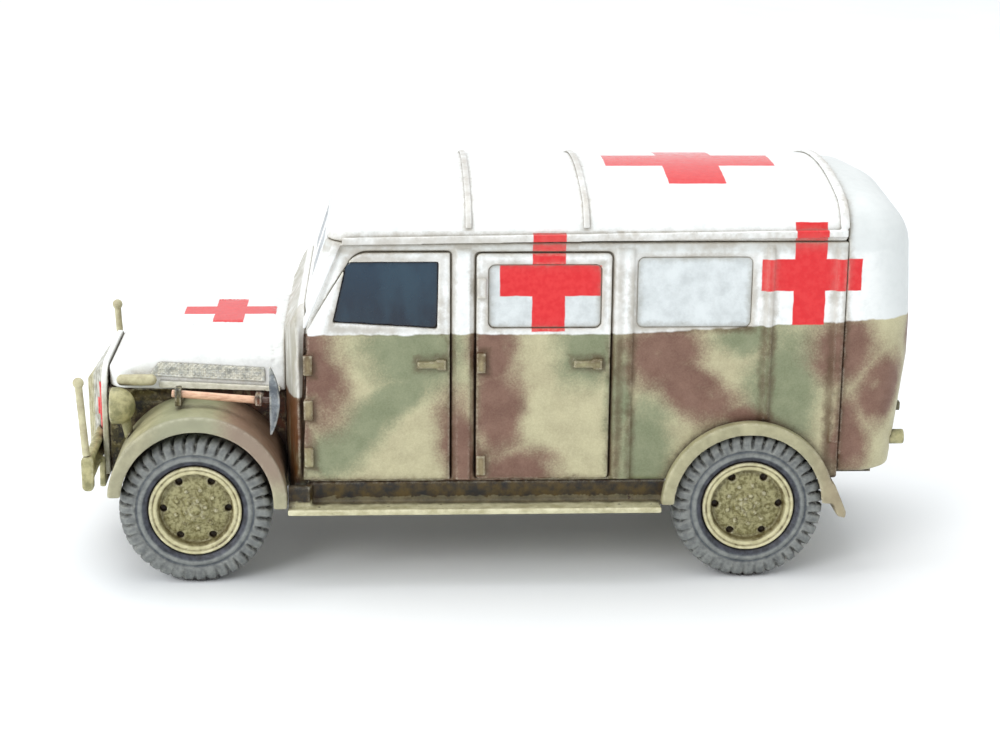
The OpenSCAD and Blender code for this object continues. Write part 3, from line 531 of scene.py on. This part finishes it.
def step_colour(g, place):
    """Cream on the treads with worn-through chips, and dark wash with painted shade up the riser behind them
    and along the treads' inner edge under the body.
    """
    _, y, z = split(g, place)
    cloudy = g.step(g.noise(place, 0.8, 5.0, 0.65), 0.3, 0.7)
    colour = g.mix(cloudy, seen(182, 176, 140), seen(222, 218, 184))
    ragged = g.math("MULTIPLY", g.math("SUBTRACT", g.noise(place, 0.9, 5.0, 0.7), 0.5), 1.3)
    riser = g.step(g.math("ADD", z, ragged), 8.75, 9.15)
    inner = g.math("MULTIPLY", g.step(g.math("ADD", g.math("ABSOLUTE", y), ragged), 16.5, 15.6), 0.8)
    # painted shade, with a dark wash, on the riser and the treads' inner edge under the body
    shade = g.mix(cloudy, seen(48, 38, 22), seen(96, 82, 48))
    colour = g.mix(g.math("MAXIMUM", riser, inner), colour, shade)
    chip = g.math("MULTIPLY", g.step(g.noise(place, 1.4, 3.0, 0.8), 0.66, 0.70), g.step(z, 7.9, 8.4))
    return g.mix(chip, colour, seen(70, 44, 34))


def bay_colour(g, place):
    """Dark wash over olive, with red-brown behind the tool."""
    x = split(g, place)[0]
    patchy = g.step(g.noise(place, 0.9, 5.0, 0.7), 0.35, 0.65)
    spots = g.step(g.noise(place, 1.7, 4.0, 0.7), 0.52, 0.62)
    front = g.mix(patchy, seen(52, 44, 30), seen(112, 104, 70))
    rear = g.mix(patchy, seen(60, 32, 24), seen(112, 72, 56))
    colour = g.mix(g.step(x, 32.5, 29.5), front, rear)
    return g.mix(g.math("MULTIPLY", spots, 0.5), colour, seen(168, 158, 122))


def shell_colour(g, place):
    """The radiator's band: white above, and cream that turns to sand towards its foot."""
    z = split(g, place)[2]
    patchy = g.step(g.noise(place, 1.2, 4.0), 0.3, 0.7)
    low = g.mix(patchy, seen(178, 174, 148), seen(214, 212, 192))
    return g.mix(g.step(z, 16.0, 22.0), low, g.mix(patchy, WHITE_DULL, WHITE))


def grille_colour(g, place):
    x = split(g, place)[0]
    patchy = g.step(g.noise(place, 1.0, 4.0), 0.3, 0.7)
    flank = g.mix(patchy, seen(150, 148, 132), seen(212, 212, 204))
    prow = g.mix(patchy, seen(160, 154, 118), seen(198, 193, 156))
    colour = g.mix(g.step(x, 42.6, 43.2), flank, prow)
    return with_crosses(g, place, colour)


def dark_glass_colour(g, place):
    z = split(g, place)[2]
    low = g.step(z, 34.5, 28.0)
    streak = g.step(g.noise(g.add("Mapping", {0: place, "Scale": (0.25, 0.25, 0.12)}), 1.6, 3.0), 0.35, 0.7)
    colour = g.mix(low, linear(9, 42, 62), linear(3, 24, 42))
    return g.mix(g.math("MULTIPLY", streak, 0.5), colour, linear(34, 64, 80))


def frosted_colour(g, place):
    cloud = g.step(g.noise(place, 0.5, 5.0, 0.7), 0.25, 0.7)
    colour = g.mix(cloud, linear(184, 190, 191), linear(210, 216, 217))
    colour = g.mix(g.math("MULTIPLY", g.group(GRIME_AND_SHADE, place)[0], 0.6), colour, linear(142, 140, 130))
    return with_crosses(g, place, colour)


REAR_AXLE_X, WHEELBASE, AXLE_Z = -27.0, 58.0, 8.0


def wheel_radius(g, place):
    """How far a point is from the axle of the wheel it belongs to."""
    x, _, z = split(g, place)
    front = g.math("GREATER_THAN", x, 2.0)
    middle = g.math("ADD", g.math("MULTIPLY", front, WHEELBASE), REAR_AXLE_X)
    across = g.add("CombineXYZ", {0: g.math("SUBTRACT", x, middle), 1: g.math("SUBTRACT", z, AXLE_Z)})
    return g.add("VectorMath", {0: across}, out=1, operation="LENGTH")


def tyre_colour(g, place):
    radius = wheel_radius(g, place)
    patchy = g.step(g.noise(place, 1.2, 4.0, 0.65), 0.3, 0.7)
    rubber = g.mix(patchy, seen(108, 111, 111), seen(142, 145, 142))
    wall = g.mix(patchy, seen(84, 89, 95), seen(118, 123, 125))
    ring = g.mix(patchy, seen(122, 126, 125), seen(148, 151, 147))
    dark = g.mix(patchy, seen(44, 42, 58), seen(84, 86, 98))
    colour = g.mix(g.step(radius, 6.1, 6.3), wall, rubber)
    ringed = g.math("MULTIPLY", g.step(radius, 5.44, 5.6), g.step(radius, 6.06, 5.9))
    colour = g.mix(g.math("MULTIPLY", ringed, 0.8), colour, ring)
    return g.mix(g.math("MULTIPLY", g.step(radius, 5.56, 5.30), 0.85), colour, dark)


def wheel_colour(g, place):
    radius = wheel_radius(g, place)
    patchy = g.step(g.noise(place, 1.0, 4.0, 0.65), 0.3, 0.7)
    rim = g.mix(patchy, seen(184, 178, 138), seen(216, 210, 168))
    speckled = g.step(g.noise(place, 2.4, 4.0, 0.7), 0.36, 0.62)
    disc = g.mix(speckled, seen(112, 106, 70), seen(168, 163, 122))
    colour = g.mix(g.step(radius, 3.7, 4.0), disc, rim)
    # a dark wash line in the rim's groove at 4.44 mm, and painted shadow at 3.88 mm where the disc meets the
    # rim
    for groove, half_width in ((4.44, 0.13), (3.88, 0.2)):
        away = g.math("ABSOLUTE", g.math("SUBTRACT", radius, groove))
        strength = g.step(patchy, 0.0, 0.6, 0.9, 0.5)
        shade = g.math("MULTIPLY", g.step(away, half_width, 0.3 * half_width), strength)
        colour = g.mix(shade, colour, seen(92, 80, 46))
    return colour


def handle_colour(g, place):
    stretched = g.add("Mapping", {0: place, "Scale": (0.35, 1.6, 1.6)})
    grain = g.step(g.noise(stretched, 2.2, 5.0, 0.7), 0.3, 0.7)
    wood = g.mix(grain, seen(206, 158, 132), seen(246, 206, 174))
    x = split(g, place)[0]
    return g.mix(g.step(x, 24.9, 24.5), wood, seen(86, 62, 44))


PAINTS = {
    "body": paint("white_over_camouflage", body_colour, pale_of=body_pale, reach=1.3, gloss=0.46,
                  film_of=decal_film),
    # the tail doors thin to nothing at the foot, where rubbed edges would cover them
    "tail_door": paint("white_over_camouflage_doors", body_colour, pale_of=body_pale, reach=1.3, edge=0.0,
                       gloss=0.46),
    "trim": paint("white_enamel_trim", roof_colour, pale_of=always_pale, reach=0.6, depth=0.4, edge=0.0,
                  gloss=0.34),
    "roof": paint("white_enamel", roof_colour, pale_of=always_pale, reach=1.3, gloss=0.34, relief=0.3,
                  film_of=decal_film),
    "guard": paint("sprayed_guard_paint", guard_colour, reach=1.3, gloss=0.5),
    "step": paint("step_paint", step_colour, reach=1.2, gloss=0.5),
    "shell": paint("radiator_band_paint", shell_colour, pale_of=always_pale, reach=0.6, depth=0.45,
                   gloss=0.45),
    "sand": paint("sand_paint", two_tone(SAND_DULL, SAND), reach=1.0, gloss=0.5),
    "olive": paint("olive_sand_paint", two_tone(seen(138, 136, 100), seen(190, 184, 140)), reach=1.1,
                   gloss=0.46),
    "louvre": paint("louvre_grey_paint", louvre_colour, pale_of=always_pale, reach=0.4, depth=1.0,
                    gloss=0.45),
    "bay": paint("engine_bay_paint", bay_colour, reach=1.4, gloss=0.55),
    "chassis": paint("chassis_paint", two_tone(seen(66, 58, 42), seen(116, 108, 80)), reach=1.4, gloss=0.6),
    "tyre": paint("tyre_rubber_paint", tyre_colour, reach=0.8, depth=1.0, edge=0.35, gloss=0.52, grain=3.5,
                  dark=seen(26, 27, 32)),
    "wheel": paint("wheel_sand_paint", wheel_colour, reach=0.8, depth=1.0, gloss=0.4, dark=seen(84, 70, 38)),
    "dark_glass": paint("painted_dark_glass", dark_glass_colour, reach=0.5, depth=0.5, edge=0.0, gloss=0.2,
                        relief=0.12, grain=1.2),
    "frosted_glass": paint("painted_frosted_glass", frosted_colour, pale_of=always_pale, reach=1.3, depth=0.8,
                           edge=0.0, gloss=0.36, relief=0.2),
    "wood": paint("painted_tool_handle", handle_colour, reach=0.6, depth=0.8, gloss=0.4),
    "steel": paint("painted_tool_steel", two_tone(seen(96, 102, 108), seen(158, 164, 168)), reach=0.5,
                   gloss=0.35, dark=seen(24, 22, 24)),
    "grille": paint("grille_paint", grille_colour, reach=0.6, gloss=0.42),
}

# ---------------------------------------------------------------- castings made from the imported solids


def new_piece(name, mesh):
    piece = bpy.data.objects.new(name, mesh)
    scene.collection.objects.link(piece)
    return piece


def apply_modifiers(piece):
    depsgraph = bpy.context.evaluated_depsgraph_get()
    mesh = bpy.data.meshes.new_from_object(piece.evaluated_get(depsgraph))
    piece.modifiers.clear()
    old = piece.data
    piece.data = mesh
    bpy.data.meshes.remove(old)


WAVES = bpy.data.textures.new("hand_waves", "CLOUDS")
WAVES.noise_scale = 2.2
WAVES.noise_depth = 2


def cast(name, node, voxel, keep, soft, wave, extra):
    """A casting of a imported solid: one closed skin with softened edges and slightly uneven faces."""
    build = bmesh.new()
    build.from_mesh(frame["nodes"][node].data)
    bmesh.ops.scale(build, vec=(1 / MM,) * 3, verts=build.verts)
    bmesh.ops.remove_doubles(build, verts=build.verts, dist=0.0005)
    if extra:
        extra(build)
    mesh = bpy.data.meshes.new(name)
    build.to_mesh(mesh)
    build.free()
    piece = new_piece(name, mesh)
    skin = piece.modifiers.new("skin", "REMESH")
    skin.mode, skin.voxel_size, skin.adaptivity = "VOXEL", voxel, 0.0
    soften = piece.modifiers.new("soften", "SMOOTH")
    soften.factor, soften.iterations = 0.5, soft
    # a negative wave swells the piece, which closes the seam round it
    uneven = piece.modifiers.new("uneven", "DISPLACE")
    uneven.texture, uneven.strength, uneven.mid_level = WAVES, wave, 1.0
    if keep < 1.0:
        thin = piece.modifiers.new("thin", "DECIMATE")
        thin.ratio = keep
    apply_modifiers(piece)
    piece.data.transform(Matrix.Scale(MM, 4))
    piece.data.polygons.foreach_set("use_smooth", [True] * len(piece.data.polygons))
    piece.data.update()
    return piece


def settle(piece, paint_name, node):
    """Paints a piece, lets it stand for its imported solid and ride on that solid's body."""
    piece.data.materials.clear()
    piece.data.materials.append(PAINTS[paint_name])
    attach(piece, frame["nodes"][node]["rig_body"])
    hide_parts(node)


SIDES = ("left", "right")
# piece, node, voxel in mm, share of triangles kept, paint, slot
CASTINGS = [
    ("body_shell", "cabin_block", 0.19, 0.22, "body", "camouflage_paint"),
    ("roof_skin", "roof", 0.30, 0.3, "roof", "white_paint"),
    ("tail_skin", "tail_block", 0.26, 0.32, "body", "camouflage_paint"),
    ("roof_beading", "roof_trim", 0.11, 0.3, "trim", "white_paint"),
    ("cab_panes", "cab_windows", 0.18, 0.25, "dark_glass", "dark_glazing"),
    ("ward_panes", "ward_windows", 0.18, 0.25, "frosted_glass", "frosted_glazing"),
    ("cowl_skin", "cowl", 0.22, 0.3, "body", "camouflage_paint"),
    ("bonnet_skin", "bonnet", 0.16, 0.4, "roof", "white_paint"),
    ("engine_bay_side", "engine_bay", 0.25, 0.25, "bay", "chassis_paint"),
    ("radiator_band", "radiator_shell", 0.12, 0.5, "shell", "camouflage_paint"),
    ("radiator_bars", "radiator_grille", 0.11, 0.28, "grille", "camouflage_paint"),
    ("bumper_bar", "front_bumper", 0.13, 0.35, "olive", "camouflage_paint"),
    ("tool_brackets", "tool_clips", 0.1, 0.5, "bay", "painted_steel"),
    ("pick_head", "pickaxe_head", 0.08, 0.8, "steel", "painted_steel"),
    ("pick_handle", "pickaxe_handle", 0.08, 0.5, "wood", "painted_wood"),
    ("cross_bars", "cross_members", 0.2, 0.3, "chassis", "chassis_paint"),
    ("gearbox_case", "gearbox", 0.18, 0.4, "chassis", "chassis_paint"),
    ("transfer_gears_case", "transfer_case", 0.18, 0.4, "chassis", "chassis_paint"),
    ("drive_shafts", "propeller_shafts", 0.12, 0.4, "chassis", "chassis_paint"),
    ("exhaust_pipe", "exhaust", 0.14, 0.4, "chassis", "chassis_paint"),
]
for side in SIDES:
    CASTINGS += [
        (f"front_door_panel_{side}", f"front_door_{side}", 0.13, 0.3, "body", "camouflage_paint"),
        (f"side_door_panel_{side}", f"side_door_{side}", 0.13, 0.3, "body", "camouflage_paint"),
        (f"tail_door_panel_{side}", f"tail_door_{side}", 0.18, 0.4, "tail_door", "camouflage_paint"),
        (f"louvre_skin_{side}", f"louvre_panel_{side}", 0.08, 1.0, "louvre", "white_paint"),
        (f"front_guard_{side}", f"front_mudguard_{side}", 0.17, 0.35, "guard", "camouflage_paint"),
        (f"rear_guard_{side}", f"rear_mudguard_{side}", 0.17, 0.4, "guard", "camouflage_paint"),
        (f"step_{side}", f"running_board_{side}", 0.16, 0.35, "step", "camouflage_paint"),
        (f"lamp_{side}", f"headlamp_{side}", 0.1, 0.6, "olive", "camouflage_paint"),
        (f"pod_{side}", f"horn_{side}", 0.1, 0.6, "sand", "camouflage_paint"),
        (f"pole_{side}", f"width_pole_{side}", 0.09, 0.8, "sand", "camouflage_paint"),
        (f"rail_{side}", f"frame_rail_{side}", 0.2, 0.3, "chassis", "chassis_paint"),
        (f"tail_lamp_cap_{side}", f"tail_lamp_{side}", 0.1, 0.8, "olive", "camouflage_paint"),
        (f"leaf_spring_front_{side}", f"spring_front_{side}", 0.12, 0.5, "chassis", "chassis_paint"),
        (f"leaf_spring_rear_{side}", f"spring_rear_{side}", 0.12, 0.5, "chassis", "chassis_paint"),
        (f"disc_front_{side}", f"wheel_front_{side}", 0.11, 0.28, "wheel", "camouflage_paint"),
        (f"disc_rear_{side}", f"wheel_rear_{side}", 0.11, 0.28, "wheel", "camouflage_paint"),
    ]


def sink(piece, depth_at):
    """Presses a piece's surface in: depth_at takes its points in millimetres and gives a depth for each."""
    mesh = piece.data
    count = len(mesh.vertices)
    points, normals = np.zeros(count * 3), np.zeros(count * 3)
    mesh.vertices.foreach_get("co", points)
    mesh.vertex_normals.foreach_get("vector", normals)
    points, normals = points.reshape(-1, 3), normals.reshape(-1, 3)
    points -= normals * depth_at(points / MM, normals)[:, None] * MM
    mesh.vertices.foreach_set("co", points.ravel())
    mesh.update()


def smooth(v, a, b):
    t = np.clip((v - a) / (b - a), 0, 1)
    return t * t * (3 - 2 * t)


LOUVRE_RISE = 0.045                     # the panel's rows climb towards the nose by this slope
DENT_Z, DENT_STEP_Z, DENT_STEP_X, DENT_DEPTH = 20.55, 0.30, 0.46, 0.10


def perforations(points, normals):
    """Staggered round dents over the sunk field of a louvre panel."""
    x, z = points[:, 0], points[:, 2] - (points[:, 0] - 24.0) * LOUVRE_RISE
    row = np.round((z - DENT_Z) / DENT_STEP_Z)
    column = np.round(x / DENT_STEP_X + 0.5 * (row % 2)) - 0.5 * (row % 2)
    away = np.hypot(x - column * DENT_STEP_X, z - DENT_Z - row * DENT_STEP_Z)
    field = (z > 20.42) & (z < 21.75) & (x > 24.2) & (x < 35.3) & (np.abs(normals[:, 1]) > 0.6)
    return np.where(field, DENT_DEPTH * smooth(away, 0.19, 0.09), 0.0)


def bonnet_creases(points, normals):
    """The hinge line along each shoulder of the bonnet, and the joint near its rear edge."""
    x, aside = points[:, 0], np.abs(points[:, 1])
    hinge = 4.3 + (36.0 - x) * 0.056
    along = 0.10 * smooth(np.abs(aside - hinge), 0.26, 0.05) * (x < 36.8) * (normals[:, 2] > 0.5)
    rear = 0.12 * smooth(np.abs(x - 22.9), 0.26, 0.05)
    return np.maximum(along, rear)


CORNER_X, CORNER_Y, CORNER_Z = 19.1, 15.65, 9.7
CORNER_SIZE = (0.6, 1.0, 2.0)


def close_corner(build):
    """Joins the running board's two risers, which stand at different depths at the door's front edge."""
    for side in (-1, 1):
        if any(v.co.y * side > 14 for v in build.verts):
            place = Matrix.Translation((CORNER_X, side * CORNER_Y, CORNER_Z))
            bmesh.ops.create_cube(build, size=1.0, matrix=place @ Matrix.Diagonal((*CORNER_SIZE, 1.0)))


# how deep the waves press a casting's faces in, and how far they swell the ones with a seam to close, in mm
SHRINK, SWELL = 0.03, -0.045
SOFTNESS = {"guard": 6, "body": 1, "louvre": 1}
SWOLLEN = ("body_shell", "front_door", "side_door", "cab_panes", "ward_panes")
EXTRAS = {"step": close_corner}
DETAILS = {"louvre_skin_left": perforations, "louvre_skin_right": perforations, "bonnet_skin": bonnet_creases}

for name, node, voxel, keep, paint_name, slot in CASTINGS:
    wave = SWELL if name.startswith(SWOLLEN) else SHRINK
    casting = cast(name, node, voxel, keep, SOFTNESS.get(paint_name, 2), wave, EXTRAS.get(paint_name))
    if name in DETAILS:
        sink(casting, DETAILS[name])
    settle(casting, paint_name, node)

# ---------------------------------------------------------------- tyres

TREAD_BLOCKS, STEPS_PER_BLOCK = 38, 8
# half width, radius: from the bead, over the raised ring and the shoulder, to the crown
TYRE_HALF_PROFILE = [
    (1.55, 4.90), (1.72, 4.95), (1.84, 5.06), (1.92, 5.20), (1.98, 5.34), (2.08, 5.44), (2.17, 5.54),
    (2.20, 5.68), (2.19, 5.84), (2.10, 5.95), (2.03, 6.05), (2.03, 6.14), (2.12, 6.22), (2.17, 6.34),
    (2.18, 6.62), (2.17, 6.95), (2.13, 7.25), (2.05, 7.50), (1.92, 7.68), (1.76, 7.82), (1.56, 7.90),
    (1.30, 7.95), (1.00, 7.98), (0.66, 8.0), (0.34, 8.0), (0.16, 8.0),
]
BEAD_HALF_WIDTH, BEAD_RADIUS = 0.8, 4.9
TREAD_SLANT, TREAD_DEPTH, CENTRE_GROOVE = 0.30, 0.5, 0.26


def tyre(name, node):
    """A tyre with cut tread blocks, a raised ring on each wall and a bead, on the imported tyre's own axis."""
    low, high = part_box(node)
    middle = (low + high) / 2 / MM
    inner_wall = [(-w, r) for w, r in reversed(TYRE_HALF_PROFILE)]
    bead = [(-BEAD_HALF_WIDTH, BEAD_RADIUS), (BEAD_HALF_WIDTH, BEAD_RADIUS)]
    profile = np.array(TYRE_HALF_PROFILE + inner_wall + bead)
    turns = TREAD_BLOCKS * STEPS_PER_BLOCK
    angle = np.arange(turns) / turns * 2 * np.pi
    w, r = (np.repeat(c[None, :], turns, 0) for c in profile.T)
    blocks = angle[:, None] / (2 * np.pi) * TREAD_BLOCKS
    phase = blocks + TREAD_SLANT * np.abs(w) / 2.2 + np.where(w < 0, 0.5, 0.0)
    saw = np.abs((phase % 1.0) - 0.5) * 2
    gap = smooth(saw, 0.66, 0.82)
    # paint has filled the cuts on one stretch of the tyre
    filled = 1 - 0.65 * smooth(np.cos(angle[:, None] + 1.2), 0.3, 0.95)
    gap = gap * np.where(r < 7.8, filled, 1.0)
    tread = smooth(r, 6.2, 7.0)
    groove = smooth(np.abs(w), 0.3, 0.12)
    cut = TREAD_DEPTH * gap * tread + CENTRE_GROOVE * groove * tread * (1 - gap)
    lumpy = 0.02 * np.sin(blocks * 5.3 + w * 2.1) * tread
    r2 = r - np.maximum(cut, 0) * np.where(r > 7.45, 1.0, 0.35) - np.abs(lumpy)
    w2 = w - np.sign(w) * gap * tread * np.where(r > 7.6, 0.08, 0.34)
    x = middle.x + r2 * np.cos(angle)[:, None]
    z = middle.z + r2 * np.sin(angle)[:, None]
    y = middle.y + w2 * (1 if middle.y > 0 else -1)
    points = np.stack([x, y, z], -1).reshape(-1, 3) * MM
    count = len(profile)
    faces = []
    for i in range(turns):
        ahead = (i + 1) % turns
        for j in range(count):
            beside = (j + 1) % count
            face = (i * count + j, ahead * count + j, ahead * count + beside, i * count + beside)
            faces.append(face if middle.y > 0 else face[::-1])
    mesh = bpy.data.meshes.new(name)
    mesh.from_pydata(points.tolist(), [], faces)
    mesh.polygons.foreach_set("use_smooth", [True] * len(faces))
    mesh.update()
    return new_piece(name, mesh)


for end in ("front", "rear"):
    for side in SIDES:
        node = f"tyre_{end}_{side}"
        settle(tyre(f"tread_{end}_{side}", node), "tyre", node)

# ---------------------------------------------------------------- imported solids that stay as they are

for node in ("front_axle", "rear_axle"):
    solid = frame["nodes"][node]
    solid.data.materials.clear()
    solid.data.materials.append(PAINTS["chassis"])

# ---------------------------------------------------------------- floor

FLOOR_HALF = 1.5
corners = [(a * FLOOR_HALF, b * FLOOR_HALF, 0) for a, b in ((-1, -1), (1, -1), (1, 1), (-1, 1))]
floor_mesh = bpy.data.meshes.new("floor")
floor_mesh.from_pydata(corners, [], [(0, 1, 2, 3)])
floor = new_piece("floor", floor_mesh)
pale = bpy.data.materials.new("pale_floor")
pale.use_nodes = True
floor_nodes = Nodes(pale.node_tree)
floor_place = floor_nodes.place()
floor_tone = floor_nodes.mix(floor_nodes.step(floor_nodes.noise(floor_place, 0.02, 3.0), 0.3, 0.7),
                             (0.86, 0.885, 0.90, 1.0), (0.90, 0.915, 0.925, 1.0))
floor_surface = pale.node_tree.nodes["Principled BSDF"]
pale.node_tree.links.new(floor_tone, floor_surface.inputs["Base Color"])
floor_surface.inputs["Roughness"].default_value = 0.7
floor.data.materials.append(pale)
